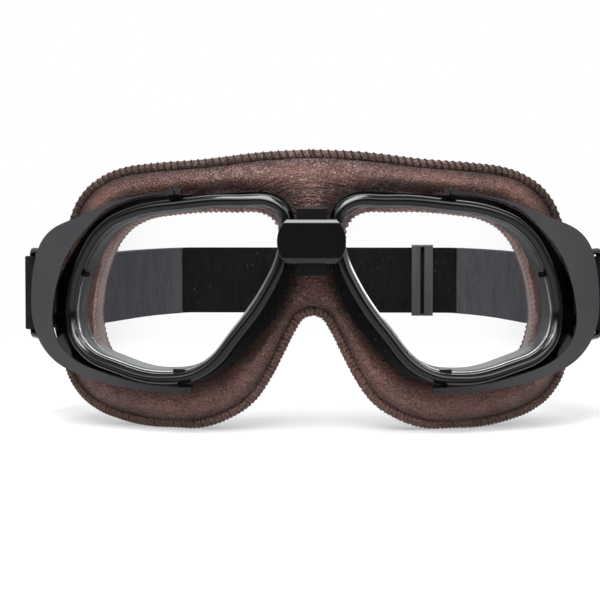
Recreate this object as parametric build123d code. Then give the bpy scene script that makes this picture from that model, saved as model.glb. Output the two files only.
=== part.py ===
from build123d import *
import math
import os

# Aviator flying goggles: two hinged eye frames on one padded leather mask, with side plates,
# strap rings and an elastic strap. Lengths are millimetres. X points to the viewer's right,
# Y away from the viewer and Z up. The goggles stand on the bottoms of their two cheek pads.

os.makedirs("parts", exist_ok=True)

# Wrap round the face: everything in front lies on one upright cylinder
WRAP_RADIUS = 130.0
CUT_OVERRUN = 2.0
OUTLINE_SAMPLES = 32

# Eye frames, right-hand side, seen from the front
EYE_WIDTH = 81.3
EYE_HEIGHT = 64.8
EYE_FROM_MIDDLE = 6.0
EYE_ABOVE_FLOOR = 16.7

# Rim: a tube that lies on the wrap
RIM_WIDTH = 3.9
RIM_DEPTH = 3.9
RIM_STEP = 0.9

# Lens and its gasket
LENS_INSET = 1.3
LENS_THICKNESS = 2.0
GASKET_WIDTH = 2.2
GASKET_THICKNESS = 1.0
POCKET_CLEARANCE = 0.15

# Rear frame with its vent holes
FRAME_BACK = 12.0
FRAME_OPENING_INSET = 3.7
VENT_HOLE_RADIUS = 0.6

# Lens clips
CLIP_LENGTH = 4.2
SIDE_CLIP_LENGTH = 2.4
CLIP_HEIGHT = 1.8
CLIP_DEPTH = 1.5

# Side plates
SIDE_PLATE_THICKNESS = 1.5
SIDE_PLATE_PROUD = 0.5
TAB_WIDTH = 5.0
TAB_THICKNESS = 1.6
TAB_DEPTH = 9.5
TAB_SCREW_RADIUS = 0.6
TAB_SCREW_HEAD_RADIUS = 1.2
TAB_SCREW_HEAD_HEIGHT = 0.6
TAB_SCREW_LENGTH = 3.4
TAB_SCREW_FROM_END = 2.4
TAB_GAP = 0.2

# Bridge
BRIDGE_HEIGHT_SHARE = 0.7593
BRIDGE_COVER_WIDTH = 23.0
BRIDGE_COVER_HEIGHT = 14.8
BRIDGE_COVER_THICKNESS = 2.2
BRIDGE_COVER_FLAT = 18.4
BRIDGE_COVER_CORNER = 1.0
BRIDGE_COVER_BEVEL = 0.8
BRIDGE_COVER_GAP = 0.2
BRIDGE_BLOCK_WIDTH = 10.0
BRIDGE_BLOCK_HEIGHT = 22.8
BRIDGE_WEB_DEPTH = 5.2
BRIDGE_BLOCK_BEVEL = 0.5

# Hinges between the bridge and the two frames
PIN_RADIUS = 0.9
PIN_FROM_MIDDLE = 3.0
PIN_BEHIND_FRONT = 9.0
KNUCKLE_RADIUS = 2.0
KNUCKLE_HEIGHT = 6.8
KNUCKLE_END_GAP = 0.3
LUG_THICKNESS = 3.4
LUG_REACH = 5.4
PIN_RUNNING_CLEARANCE = 0.05
PIN_SEAT_CLEARANCE = 0.02
PIN_END_MARGIN = 0.6

# Screws that hold the bridge cover
COVER_SCREW_RADIUS = 0.7
COVER_SCREW_HEAD_RADIUS = 1.3
COVER_SCREW_HEAD_HEIGHT = 1.0
COVER_SCREW_SPACING = 11.2
COVER_SCREW_BITE = 1.2

# Face pad, outline round the eye frames and layers from front to rear, measured at the nose
PAD_BESIDE_EYES = 5.2
PAD_ABOVE_EYES = 15.3
PAD_STAND_FLAT = 0.5
PAD_FRONT = 12.3
BINDING_FRONT = 17.0
BINDING_THICKNESS = 2.6
PAD_LAYER_OPENING = 2.0
PAD_REAR = 34.0
PAD_REAR_OPENING = 20.0
BINDING_WIDTH = 5.2
FOAM_GAP = 0.1
COVER_INSET = 3.6
LEATHER_THICKNESS = 1.2
COVER_CROWN = 3.4
LINING_INSET = 0.2
LINING_THICKNESS = 1.2
LINING_CROWN = 4.5
EYE_LINING_THICKNESS = 1.2

# Strap, its rings and its slider
STRAP_WIDTH = 26.4
STRAP_THICKNESS = 1.5
STRAP_HEIGHT_SHARE = 0.446
STRAP_JOIN_SHARE = 0.593
STRAP_TEMPLE_IN = 19.5
STRAP_TEMPLE_RUN = 25.87
STRAP_HIP_IN = 14.0
STRAP_HIP_RUN = 46.0
STRAP_CORNER_IN = 13.5
STRAP_CORNER_RUN = 22.0
STRAP_BACK_BEND = 15.0
STRAP_HIP_BEND = 30.0
STRAP_TEMPLE_BEND = 40.0
RING_WIRE_RADIUS = 1.1
RING_REACH = 13.0
RING_CORNER = 1.9
RING_SIDE_GAP = 0.9
RING_BESIDE_EYES = 9.2
RING_SPLAY_DEG = 25.0
RING_LUG_RADIUS = 2.0
RING_LUG_LENGTH = 4.0
RING_LUG_SPACING = 18.0
RING_LUG_CLEARANCE = 0.08
RING_LUG_STANDOFF = 2.2
STRAP_LOOP_CLEARANCE = 0.2
SLIDER_WIDTH = 8.5
SLIDER_FROM_CORNER = 13.4
SLIDER_WALL = 1.4
SLIDER_SIDE_WALL = 0.8
SLIDER_CLEARANCE = 0.3
SLIDER_WINDOW = 1.6
SLIDER_ROUND = 0.4

# Outlines as shares of the eye frame's width and height, clockwise from the nose
RIM_SHARES = [
    (0.006, 0.875), (0.058, 0.974), (0.236, 1.000), (0.466, 0.981), (0.713, 0.924),
    (0.840, 0.832), (0.934, 0.665), (0.993, 0.437), (0.995, 0.298), (0.945, 0.154),
    (0.761, 0.043), (0.541, 0.000), (0.365, 0.057), (0.215, 0.258), (0.074, 0.517),
    (0.018, 0.690),
]
REAR_FRAME_SHARES = [
    (0.000, 0.888), (0.054, 0.986), (0.236, 1.012), (0.467, 0.996), (0.720, 0.952),
    (0.861, 0.849), (0.966, 0.690), (1.052, 0.483), (1.070, 0.313), (1.022, 0.140),
    (0.824, 0.043), (0.640, 0.001), (0.455, 0.003), (0.340, 0.048), (0.193, 0.199),
    (0.064, 0.420), (0.010, 0.622), (0.000, 0.760),
]
EYE_OPENING_SHARES = [
    (0.059, 0.823), (0.105, 0.894), (0.258, 0.915), (0.517, 0.898), (0.664, 0.860),
    (0.763, 0.776), (0.830, 0.630), (0.871, 0.437), (0.872, 0.252), (0.812, 0.094),
    (0.664, 0.045), (0.486, 0.032), (0.381, 0.076), (0.283, 0.193), (0.172, 0.387),
    (0.086, 0.552), (0.057, 0.699),
]
PLATE_OUTER_SHARES = [
    (0.499, 1.022), (0.664, 0.992), (0.812, 0.940), (0.947, 0.869), (1.058, 0.807),
    (1.117, 0.730), (1.148, 0.630), (1.168, 0.452), (1.163, 0.313), (1.129, 0.199),
    (1.046, 0.091), (0.952, 0.039), (0.787, -0.009), (0.603, -0.034), (0.467, -0.031),
]
PLATE_INNER_SHARES = [
    (0.445, -0.008), (0.547, -0.005), (0.689, 0.011), (0.843, 0.057), (0.947, 0.103),
    (1.011, 0.165), (1.052, 0.252), (1.057, 0.375), (1.031, 0.532), (0.991, 0.657),
    (0.941, 0.748), (0.873, 0.838), (0.800, 0.918), (0.699, 0.969), (0.600, 0.995),
    (0.504, 1.002),
]
VENT_HOLE_SHARES = [(0.047, 0.517), (0.121, 0.369), (0.191, 0.248), (0.232, 0.185)]
CLIP_SHARES = [(0.483, 0.068), (0.905, 0.568)]
TAB_SHARES = [(0.504, 1.000), (0.462, -0.006)]

# Half of the pad's outline as shares of its half width and height, from the brow to the nose notch
PAD_SHARES = [
    (0.000, 1.000), (0.177, 0.992), (0.405, 0.967), (0.616, 0.951), (0.724, 0.936),
    (0.822, 0.899), (0.897, 0.840), (0.947, 0.755), (0.982, 0.622), (1.000, 0.457),
    (0.999, 0.313), (0.977, 0.205), (0.930, 0.122), (0.849, 0.060), (0.746, 0.026),
    (0.627, 0.007), (0.519, 0.000), (0.411, 0.012), (0.303, 0.050), (0.218, 0.107),
    (0.154, 0.192), (0.104, 0.283), (0.061, 0.365), (0.032, 0.404), (0.000, 0.416),
]

# Sizes that follow from the ones above
BLOCK_FRONT = -BRIDGE_COVER_GAP
COVER_FRONT = BLOCK_FRONT - BRIDGE_COVER_THICKNESS
LENS_FRONT = RIM_DEPTH
LENS_BACK = LENS_FRONT + LENS_THICKNESS
SEAT_DEPTH = LENS_BACK + GASKET_THICKNESS
BRIDGE_MIDDLE_HEIGHT = EYE_ABOVE_FLOOR + BRIDGE_HEIGHT_SHARE * EYE_HEIGHT
PAD_WIDTH = 2 * (EYE_FROM_MIDDLE + EYE_WIDTH + PAD_BESIDE_EYES)
PAD_HEIGHT = PAD_STAND_FLAT + EYE_ABOVE_FLOOR + EYE_HEIGHT + PAD_ABOVE_EYES
PAD_FRONT_RADIUS = WRAP_RADIUS
PAD_LAYER_RADIUS = WRAP_RADIUS + PAD_LAYER_OPENING
PAD_REAR_RADIUS = WRAP_RADIUS + PAD_REAR_OPENING
BINDING_REAR = BINDING_FRONT + BINDING_THICKNESS
TALL = 2 * PAD_HEIGHT

# The strap ring hangs behind the side plate, and the strap runs back and inwards from its bar
RING_FROM_MIDDLE = EYE_FROM_MIDDLE + EYE_WIDTH + RING_BESIDE_EYES
RING_BACK = math.sqrt((WRAP_RADIUS + SIDE_PLATE_PROUD) ** 2 - RING_FROM_MIDDLE ** 2)
RING_HINGE_DEPTH = WRAP_RADIUS - RING_BACK + RING_LUG_STANDOFF
RING_INNER_HEIGHT = STRAP_WIDTH + 2 * RING_SIDE_GAP
STRAP_MIDDLE_HEIGHT = EYE_ABOVE_FLOOR + STRAP_HEIGHT_SHARE * EYE_HEIGHT
BAR_HALF = RING_FROM_MIDDLE + RING_REACH * math.sin(math.radians(RING_SPLAY_DEG))
BAR_DEPTH = RING_HINGE_DEPTH + RING_REACH * math.cos(math.radians(RING_SPLAY_DEG))
STRAP_TEMPLE_HALF = BAR_HALF - STRAP_TEMPLE_IN
STRAP_TEMPLE_DEPTH = BAR_DEPTH + STRAP_TEMPLE_RUN
STRAP_HIP_HALF = STRAP_TEMPLE_HALF - STRAP_HIP_IN
STRAP_HIP_DEPTH = STRAP_TEMPLE_DEPTH + STRAP_HIP_RUN
STRAP_FLAT_HALF = STRAP_HIP_HALF - STRAP_CORNER_IN
STRAP_BACK = STRAP_HIP_DEPTH + STRAP_CORNER_RUN
STRAP_JOIN_HALF = STRAP_HIP_HALF - STRAP_JOIN_SHARE * STRAP_CORNER_IN
STRAP_JOIN_DEPTH = STRAP_HIP_DEPTH + STRAP_JOIN_SHARE * STRAP_CORNER_RUN
SLIDER_MIDDLE = STRAP_FLAT_HALF - SLIDER_FROM_CORNER
SLIDER_HALF_DEPTH = STRAP_THICKNESS / 2 + SLIDER_CLEARANCE + SLIDER_WALL
STRAP_REAR = STRAP_BACK + SLIDER_HALF_DEPTH
MIDDLE_DEPTH = (COVER_FRONT + STRAP_REAR) / 2


def wrap(depth, radius=WRAP_RADIUS):
    """The space behind an upright cylinder whose front lies at this depth at the nose."""
    return Pos(0, depth + radius, 0) * Cylinder(radius, 2 * TALL)


def barrel(depth, radius, bulge):
    """Like wrap, with a surface that bulges by this much between the pad's top and bottom."""
    middle = PAD_HEIGHT / 2
    waist = ThreePointArc((radius - bulge, -middle), (radius, 0), (radius - bulge, middle))
    over_top = Polyline((radius - bulge, middle), (radius - bulge, TALL), (0, TALL))
    under = Polyline((0, -TALL), (radius - bulge, -TALL), (radius - bulge, -middle))
    half = make_face(waist + over_top + Line((0, TALL), (0, -TALL)) + under)
    turned = revolve(Plane.XZ * half, Axis.Z)
    return Pos(0, depth + radius, middle - PAD_STAND_FLAT) * turned


def wrap_at(depth):
    """The space behind a surface that lies this depth, measured square to it, behind the rims' front."""
    return Pos(0, WRAP_RADIUS, 0) * Cylinder(WRAP_RADIUS - depth, 2 * TALL)


def wrap_y(x, depth):
    """How far back the surface at this depth lies at a distance from the middle."""
    return WRAP_RADIUS - math.sqrt((WRAP_RADIUS - depth) ** 2 - x ** 2)


def eye_point(share):
    """A share of the eye frame as a place seen from the front."""
    across, up = share
    return (EYE_FROM_MIDDLE + across * EYE_WIDTH, EYE_ABOVE_FLOOR + up * EYE_HEIGHT)


def front_points(points):
    return [Vector(x, 0, z) for x, z in points]


def grown(points, amount):
    """A clockwise outline smoothed and made larger all round, or smaller by a negative amount."""
    curve = Spline(*front_points(points), periodic=True)
    count = max(OUTLINE_SAMPLES, len(points))
    moved = []
    for k in range(count):
        place = curve @ (k / count) + (curve % (k / count)).cross(Vector(0, 1, 0)) * amount
        moved.append((place.X, place.Z))
    return moved


def shape(points):
    """The face inside a closed outline of arcs, each through three of the points."""
    places = front_points(points)
    places.append(places[0])
    arcs = [ThreePointArc(*places[k:k + 3]) for k in range(0, len(points), 2)]
    return make_face(arcs)


def prism(points):
    """The outline drawn out from in front of the goggles to behind the pad."""
    return Pos(0, -PAD_FRONT, 0) * extrude(shape(points), WRAP_RADIUS, dir=(0, 1, 0))


def layer(points, front, rear):
    """The part of an outline's prism between two wraps."""
    return (prism(points) & front) - rear


def at_place(solid):
    """Moves a piece so that the whole goggles are centred front to back."""
    return Pos(0, -MIDDLE_DEPTH, 0) * solid


def save(name, solid):
    export_step(at_place(solid), f"parts/{name}.step")


def save_pair(name, right):
    save(f"right_{name}", right)
    save(f"left_{name}", mirror(right, about=Plane.YZ))


# Outlines of the right-hand eye frame
rim_outline = grown([eye_point(s) for s in RIM_SHARES], 0)
rear_outline = grown([eye_point(s) for s in REAR_FRAME_SHARES], 0)
opening_outline = grown([eye_point(s) for s in EYE_OPENING_SHARES], 0)
lens_outline = grown(rim_outline, -LENS_INSET)


def make_rim():
    """Tube round the lens: a wide rear band and a narrower front band."""
    front = wrap_at(RIM_STEP)
    band = layer(rim_outline, front, wrap_at(RIM_DEPTH)) - prism(grown(rim_outline, -RIM_WIDTH))
    face = layer(grown(rim_outline, -RIM_STEP), wrap_at(0), wrap_at(RIM_STEP))
    return band + (face - prism(grown(rim_outline, RIM_STEP - RIM_WIDTH)))


def make_lens():
    """Curved sheet behind the rim."""
    return layer(lens_outline, wrap_at(LENS_FRONT), wrap_at(LENS_BACK))


def make_gasket():
    """Rubber ring between the lens and its seat."""
    ring = layer(lens_outline, wrap_at(LENS_BACK), wrap_at(SEAT_DEPTH))
    return ring - prism(grown(rim_outline, -LENS_INSET - GASKET_WIDTH))


def make_rear_frame():
    """Moulded ring behind the rim, with the lens pocket, vent holes and hinge knuckle."""
    body = layer(rear_outline, wrap_at(RIM_DEPTH), wrap(FRAME_BACK))
    knuckle = Cylinder(KNUCKLE_RADIUS, KNUCKLE_HEIGHT)
    lug = Pos(LUG_REACH / 2, 0, 0) * Box(LUG_REACH, LUG_THICKNESS, KNUCKLE_HEIGHT)
    hinge = Pos(PIN_FROM_MIDDLE, PIN_BEHIND_FRONT, BRIDGE_MIDDLE_HEIGHT) * (knuckle + lug)
    body = body + hinge
    pocket = prism(grown(rim_outline, POCKET_CLEARANCE - LENS_INSET)) - wrap_at(SEAT_DEPTH)
    body = body - pocket
    body = body - prism(grown(rim_outline, -FRAME_OPENING_INSET))
    drill = Rot(90, 0, 0) * Cylinder(VENT_HOLE_RADIUS, 2 * WRAP_RADIUS)
    for share in VENT_HOLE_SHARES:
        x, z = eye_point(share)
        body = body - Pos(x, 0, z) * drill
    bore = Cylinder(PIN_RADIUS + PIN_RUNNING_CLEARANCE, KNUCKLE_HEIGHT + CUT_OVERRUN)
    body = body - Pos(PIN_FROM_MIDDLE, PIN_BEHIND_FRONT, BRIDGE_MIDDLE_HEIGHT) * bore
    for share, side in zip(TAB_SHARES, (1, -1)):
        body = body - tab_screw(share, side, PIN_SEAT_CLEARANCE)
    return body


def make_clips():
    """Small nubs on the lens that hook behind the rim's inner edge."""
    nubs = []
    for share, length in zip(CLIP_SHARES, (CLIP_LENGTH, SIDE_CLIP_LENGTH)):
        x, z = eye_point(share)
        lean = math.degrees(math.asin(x / WRAP_RADIUS))
        nub = Pos(x, wrap_y(x, LENS_FRONT - CLIP_DEPTH / 2), z) * Rot(0, 0, lean)
        nubs.append(nub * Box(length, CLIP_DEPTH, CLIP_HEIGHT))
    clips = Part() + nubs
    inside = prism(grown(rim_outline, -RIM_WIDTH))
    return (clips & wrap_at(LENS_FRONT - CLIP_DEPTH) & inside) - wrap_at(LENS_FRONT)


def tab_screw(share, side, clearance=0.0):
    """Screw that runs up or down through a tab into the rear frame."""
    x, z = eye_point(share)
    y = wrap_y(x, 0) + TAB_DEPTH - TAB_SCREW_FROM_END
    head_z = z + side * (TAB_GAP + TAB_THICKNESS + TAB_SCREW_HEAD_HEIGHT / 2)
    shank_z = z + side * (TAB_GAP + TAB_THICKNESS - TAB_SCREW_LENGTH / 2)
    head = Pos(x, y, head_z) * Cylinder(TAB_SCREW_HEAD_RADIUS, TAB_SCREW_HEAD_HEIGHT)
    shank = Pos(x, y, shank_z) * Cylinder(TAB_SCREW_RADIUS + clearance, TAB_SCREW_LENGTH)
    return head + shank


def ring_place(reach):
    """A place in the ring's plane, this far behind its hinge."""
    splay = math.radians(RING_SPLAY_DEG)
    x = RING_FROM_MIDDLE + reach * math.sin(splay)
    return Pos(x, RING_HINGE_DEPTH + reach * math.cos(splay), STRAP_MIDDLE_HEIGHT)


def make_side_plate():
    """C-shaped plate outside the rim, with a hooked tab at each tip and two lugs for the strap ring."""
    outer = Spline(*front_points([eye_point(s) for s in PLATE_OUTER_SHARES]))
    inner = Spline(*front_points([eye_point(s) for s in PLATE_INNER_SHARES]))
    top_tip = Line(inner @ 1, outer @ 0)
    bottom_tip = Line(outer @ 1, inner @ 0)
    outline = make_face(outer + bottom_tip + inner + top_tip)
    front = wrap_at(-SIDE_PLATE_PROUD - SIDE_PLATE_THICKNESS)
    sheet = Pos(0, -PAD_FRONT, 0) * extrude(outline, WRAP_RADIUS, dir=(0, 1, 0))
    body = (sheet & front) - wrap_at(-SIDE_PLATE_PROUD)
    middle = wrap_at(-SIDE_PLATE_PROUD - SIDE_PLATE_THICKNESS / 2)
    for share, side in zip(TAB_SHARES, (1, -1)):
        x, z = eye_point(share)
        near = z + side * (TAB_GAP + TAB_THICKNESS / 2)
        start = wrap_y(x, -SIDE_PLATE_PROUD - SIDE_PLATE_THICKNESS)
        end = wrap_y(x, 0) + TAB_DEPTH
        tab = Pos(x, (start + end) / 2, near) * Box(TAB_WIDTH, end - start, TAB_THICKNESS)
        body = body + (tab & middle) - tab_screw(share, side, PIN_SEAT_CLEARANCE)
    for offset_z in (-RING_LUG_SPACING / 2, RING_LUG_SPACING / 2):
        lug = Cylinder(RING_LUG_RADIUS, RING_LUG_LENGTH)
        foot = Pos(0, -RING_LUG_RADIUS, 0) * Box(2 * RING_LUG_RADIUS, 2 * RING_LUG_RADIUS, RING_LUG_LENGTH)
        body = body + ((ring_place(0) * Pos(0, 0, offset_z) * (lug + foot)) & middle)
    bore = Cylinder(RING_WIRE_RADIUS + RING_LUG_CLEARANCE, RING_LUG_SPACING + 2 * RING_LUG_LENGTH)
    return body - ring_place(0) * bore


def make_plate_screws():
    """One screw in each tab."""
    return Part() + [tab_screw(share, side) for share, side in zip(TAB_SHARES, (1, -1))]


def make_strap_ring():
    """Wire loop that swings in the side plate's lugs."""
    height = RING_INNER_HEIGHT + 2 * RING_WIRE_RADIUS
    flat = RectangleRounded(RING_REACH, height, RING_CORNER)
    splay = math.radians(RING_SPLAY_DEG)
    rearwards = Vector(math.sin(splay), math.cos(splay), 0)
    outwards = rearwards.cross(Vector(0, 0, 1))
    plane = Plane(ring_place(RING_REACH / 2).position, x_dir=rearwards, z_dir=outwards)
    path = (plane * flat).faces()[0].outer_wire()
    section = Plane(path @ 0, z_dir=path % 0) * Circle(RING_WIRE_RADIUS)
    return sweep(section, path)


def band(points, bends, thickness):
    """Webbing on edge along a path of straight runs and bends, seen from above."""
    path = FilletPolyline(*points, radius=bends)
    start = Plane(path @ 0, x_dir=(0, 0, 1), z_dir=path % 0)
    return sweep(start * Rectangle(STRAP_WIDTH, thickness), path)


def make_back_strap():
    """Single webbing round the back of the head."""
    z = STRAP_MIDDLE_HEIGHT
    half = [(STRAP_JOIN_HALF, STRAP_JOIN_DEPTH, z), (STRAP_FLAT_HALF, STRAP_BACK, z)]
    other = [(-x, y, z) for x, y, z in reversed(half)]
    return band(half + other, STRAP_BACK_BEND, STRAP_THICKNESS)


def make_strap_end():
    """Doubled webbing that goes round the ring's rear bar and back to the single webbing."""
    z = STRAP_MIDDLE_HEIGHT
    bar = ring_place(RING_REACH)
    points = [
        tuple(bar.position),
        (STRAP_TEMPLE_HALF, STRAP_TEMPLE_DEPTH, z),
        (STRAP_HIP_HALF, STRAP_HIP_DEPTH, z),
        (STRAP_JOIN_HALF, STRAP_JOIN_DEPTH, z),
    ]
    doubled = band(points, [STRAP_TEMPLE_BEND, STRAP_HIP_BEND], 2 * STRAP_THICKNESS)
    hole = RING_WIRE_RADIUS + STRAP_LOOP_CLEARANCE
    loop = bar * Cylinder(hole + STRAP_THICKNESS, STRAP_WIDTH)
    return doubled + loop - bar * Cylinder(hole, 2 * STRAP_WIDTH)


def make_slider():
    """Adjuster: a sleeve round the strap with a window between its two front bars."""
    height = STRAP_WIDTH + 2 * (SLIDER_CLEARANCE + SLIDER_SIDE_WALL)
    body = Box(SLIDER_WIDTH, 2 * SLIDER_HALF_DEPTH, height)
    body = fillet(body.edges().filter_by(Axis.X), SLIDER_ROUND)
    slot_height = STRAP_WIDTH + 2 * SLIDER_CLEARANCE
    slot_depth = STRAP_THICKNESS + 2 * SLIDER_CLEARANCE
    body = body - Box(SLIDER_WIDTH + CUT_OVERRUN, slot_depth, slot_height)
    window = Pos(0, -SLIDER_HALF_DEPTH, 0) * Box(SLIDER_WINDOW, 2 * SLIDER_WALL, slot_height)
    return Pos(SLIDER_MIDDLE, STRAP_BACK, STRAP_MIDDLE_HEIGHT) * (body - window)


def bridge_place(x=0, y=0, z=0):
    """A place measured from the middle of the bridge."""
    return Pos(x, y, BRIDGE_MIDDLE_HEIGHT + z)


def cover_screws(clearance=0.0):
    """Two screws from behind the block into the bridge cover."""
    back = PIN_BEHIND_FRONT + KNUCKLE_RADIUS
    tip = BLOCK_FRONT - COVER_SCREW_BITE
    screws = []
    for side in (-1, 1):
        z = side * COVER_SCREW_SPACING / 2
        shank = Cylinder(COVER_SCREW_RADIUS + clearance, back - tip)
        head = Cylinder(COVER_SCREW_HEAD_RADIUS + clearance, COVER_SCREW_HEAD_HEIGHT)
        turned = Rot(90, 0, 0)
        screws.append(bridge_place(0, (back + tip) / 2, z) * turned * shank)
        screws.append(bridge_place(0, back - COVER_SCREW_HEAD_HEIGHT / 2, z) * turned * head)
    return Part() + screws


def make_bridge_cover():
    """Oblong plate with flat top and bottom, rounded ends and a bevelled front edge."""
    half_width = BRIDGE_COVER_WIDTH / 2
    half_height = BRIDGE_COVER_HEIGHT / 2
    half_flat = BRIDGE_COVER_FLAT / 2
    right = ThreePointArc((half_flat, -half_height), (half_width, 0), (half_flat, half_height))
    left = ThreePointArc((-half_flat, half_height), (-half_width, 0), (-half_flat, -half_height))
    top = Line((half_flat, half_height), (-half_flat, half_height))
    bottom = Line((-half_flat, -half_height), (half_flat, -half_height))
    face = make_face(right + top + left + bottom)
    face = fillet(face.vertices(), BRIDGE_COVER_CORNER)
    plate = extrude(face, BRIDGE_COVER_THICKNESS)
    plate = chamfer(plate.faces().sort_by(Axis.Z)[-1].edges(), BRIDGE_COVER_BEVEL)
    return bridge_place(0, BLOCK_FRONT, 0) * Rot(90, 0, 0) * plate - cover_screws(PIN_SEAT_CLEARANCE)


def pin_places():
    return [bridge_place(side * PIN_FROM_MIDDLE, PIN_BEHIND_FRONT, 0) for side in (-1, 1)]


def make_bridge_block():
    """Link with a front web and an upper and a lower ear that hold both pins."""
    depth = PIN_BEHIND_FRONT - BLOCK_FRONT
    body = bridge_place(0, BLOCK_FRONT + depth / 2, 0) * Box(BRIDGE_BLOCK_WIDTH, depth, BRIDGE_BLOCK_HEIGHT)
    body = chamfer(body.edges().filter_by(Axis.X).sort_by(Axis.Y)[:2], BRIDGE_BLOCK_BEVEL)
    rear = Box(2 * PIN_FROM_MIDDLE, 2 * KNUCKLE_RADIUS, BRIDGE_BLOCK_HEIGHT)
    body = body + bridge_place(0, PIN_BEHIND_FRONT, 0) * rear
    for place in pin_places():
        body = body + place * Cylinder(KNUCKLE_RADIUS, BRIDGE_BLOCK_HEIGHT)
    gap_height = KNUCKLE_HEIGHT + 2 * KNUCKLE_END_GAP
    gap_front = BRIDGE_WEB_DEPTH + PIN_BEHIND_FRONT
    gap = Box(2 * BRIDGE_BLOCK_WIDTH, 2 * PIN_BEHIND_FRONT, gap_height)
    body = body - bridge_place(0, gap_front, 0) * gap
    for place in pin_places():
        body = body - place * Cylinder(PIN_RADIUS + PIN_SEAT_CLEARANCE, 2 * BRIDGE_BLOCK_HEIGHT)
    return body - cover_screws(PIN_SEAT_CLEARANCE)


def make_pin():
    """Right-hand hinge pin."""
    return pin_places()[1] * Cylinder(PIN_RADIUS, BRIDGE_BLOCK_HEIGHT - 2 * PIN_END_MARGIN)


def pad_points():
    """The pad's whole outline from its right half."""
    half = [(u * PAD_WIDTH / 2, v * PAD_HEIGHT - PAD_STAND_FLAT) for u, v in PAD_SHARES]
    return half + [(-x, z) for x, z in reversed(half[1:-1])]


pad_outline = pad_points()
eye_hole = prism(grown(opening_outline, EYE_LINING_THICKNESS + FOAM_GAP))
eye_holes = eye_hole + mirror(eye_hole, about=Plane.YZ)
above_floor = Pos(0, WRAP_RADIUS, TALL) * Box(2 * PAD_WIDTH, 4 * WRAP_RADIUS, 2 * TALL)
binding_front = wrap(BINDING_FRONT, PAD_LAYER_RADIUS)
binding_rear = wrap(BINDING_REAR, PAD_LAYER_RADIUS)
behind_binding = wrap(BINDING_REAR + FOAM_GAP, PAD_LAYER_RADIUS)
before_binding = wrap(BINDING_FRONT - FOAM_GAP, PAD_LAYER_RADIUS)


def make_pad_cover():
    """Leather skin with a crowned front, open behind."""
    core = prism(grown(pad_outline, -COVER_INSET)) & barrel(PAD_FRONT, PAD_FRONT_RADIUS, COVER_CROWN)
    return core - hollow_of_cover(0) - before_binding - eye_holes


def hollow_of_cover(gap):
    """The space under the leather, less a gap all round."""
    radius = PAD_FRONT_RADIUS - LEATHER_THICKNESS - gap
    outline = grown(pad_outline, -COVER_INSET - LEATHER_THICKNESS - gap)
    return prism(outline) & barrel(PAD_FRONT + PAD_FRONT_RADIUS - radius, radius, COVER_CROWN)


def make_front_foam():
    """Foam under the leather."""
    return hollow_of_cover(FOAM_GAP) - before_binding - eye_holes


def make_pad_binding():
    """Overlocked edge all round the pad, which it stands on at the cheeks."""
    ring = layer(pad_outline, binding_front, binding_rear)
    return (ring - prism(grown(pad_outline, -BINDING_WIDTH))) & above_floor


def make_middle_foam():
    """Foam layer that fills the binding."""
    return layer(grown(pad_outline, -BINDING_WIDTH - FOAM_GAP), binding_front, binding_rear) - eye_holes


def hollow_of_lining(gap):
    """The space inside the lining, less a gap all round."""
    radius = PAD_REAR_RADIUS + LINING_THICKNESS + gap
    outline = grown(pad_outline, -LINING_INSET - LINING_THICKNESS - gap)
    return prism(outline) - barrel(PAD_REAR + PAD_REAR_RADIUS - radius, radius, -LINING_CROWN)


def make_rear_foam():
    """Foam against the face, under the lining."""
    return (hollow_of_lining(FOAM_GAP) & behind_binding) - eye_holes


def make_pad_lining():
    """Soft skin over the rear foam, with a crowned rear, cut flat where the goggles stand."""
    core = prism(grown(pad_outline, -LINING_INSET)) & behind_binding
    core = core - barrel(PAD_REAR, PAD_REAR_RADIUS, -LINING_CROWN)
    return (core - hollow_of_lining(0) - eye_holes) & above_floor


def make_eye_lining():
    """Suede wall of the right-hand eye opening."""
    front = wrap(PAD_FRONT, PAD_FRONT_RADIUS)
    rear = wrap(PAD_REAR, PAD_REAR_RADIUS)
    wall = layer(grown(opening_outline, EYE_LINING_THICKNESS), front, rear)
    return wall - prism(opening_outline)


save("bridge_cover", make_bridge_cover())
save("bridge_block", make_bridge_block())
save("bridge_cover_screws", cover_screws())
save_pair("hinge_pin", make_pin())
save_pair("rim", make_rim())
save_pair("lens", make_lens())
save_pair("lens_gasket", make_gasket())
save_pair("rear_frame", make_rear_frame())
save_pair("lens_clips", make_clips())
save_pair("side_plate", make_side_plate())
save_pair("side_plate_screws", make_plate_screws())
save_pair("strap_ring", make_strap_ring())
save("face_pad_cover", make_pad_cover())
save("face_pad_front_foam", make_front_foam())
save("face_pad_binding", make_pad_binding())
save("face_pad_middle_foam", make_middle_foam())
save("face_pad_rear_foam", make_rear_foam())
save("face_pad_lining", make_pad_lining())
save_pair("eye_lining", make_eye_lining())
save("back_strap", make_back_strap())
save_pair("strap_end", make_strap_end())
save("strap_slider", make_slider())
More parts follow.
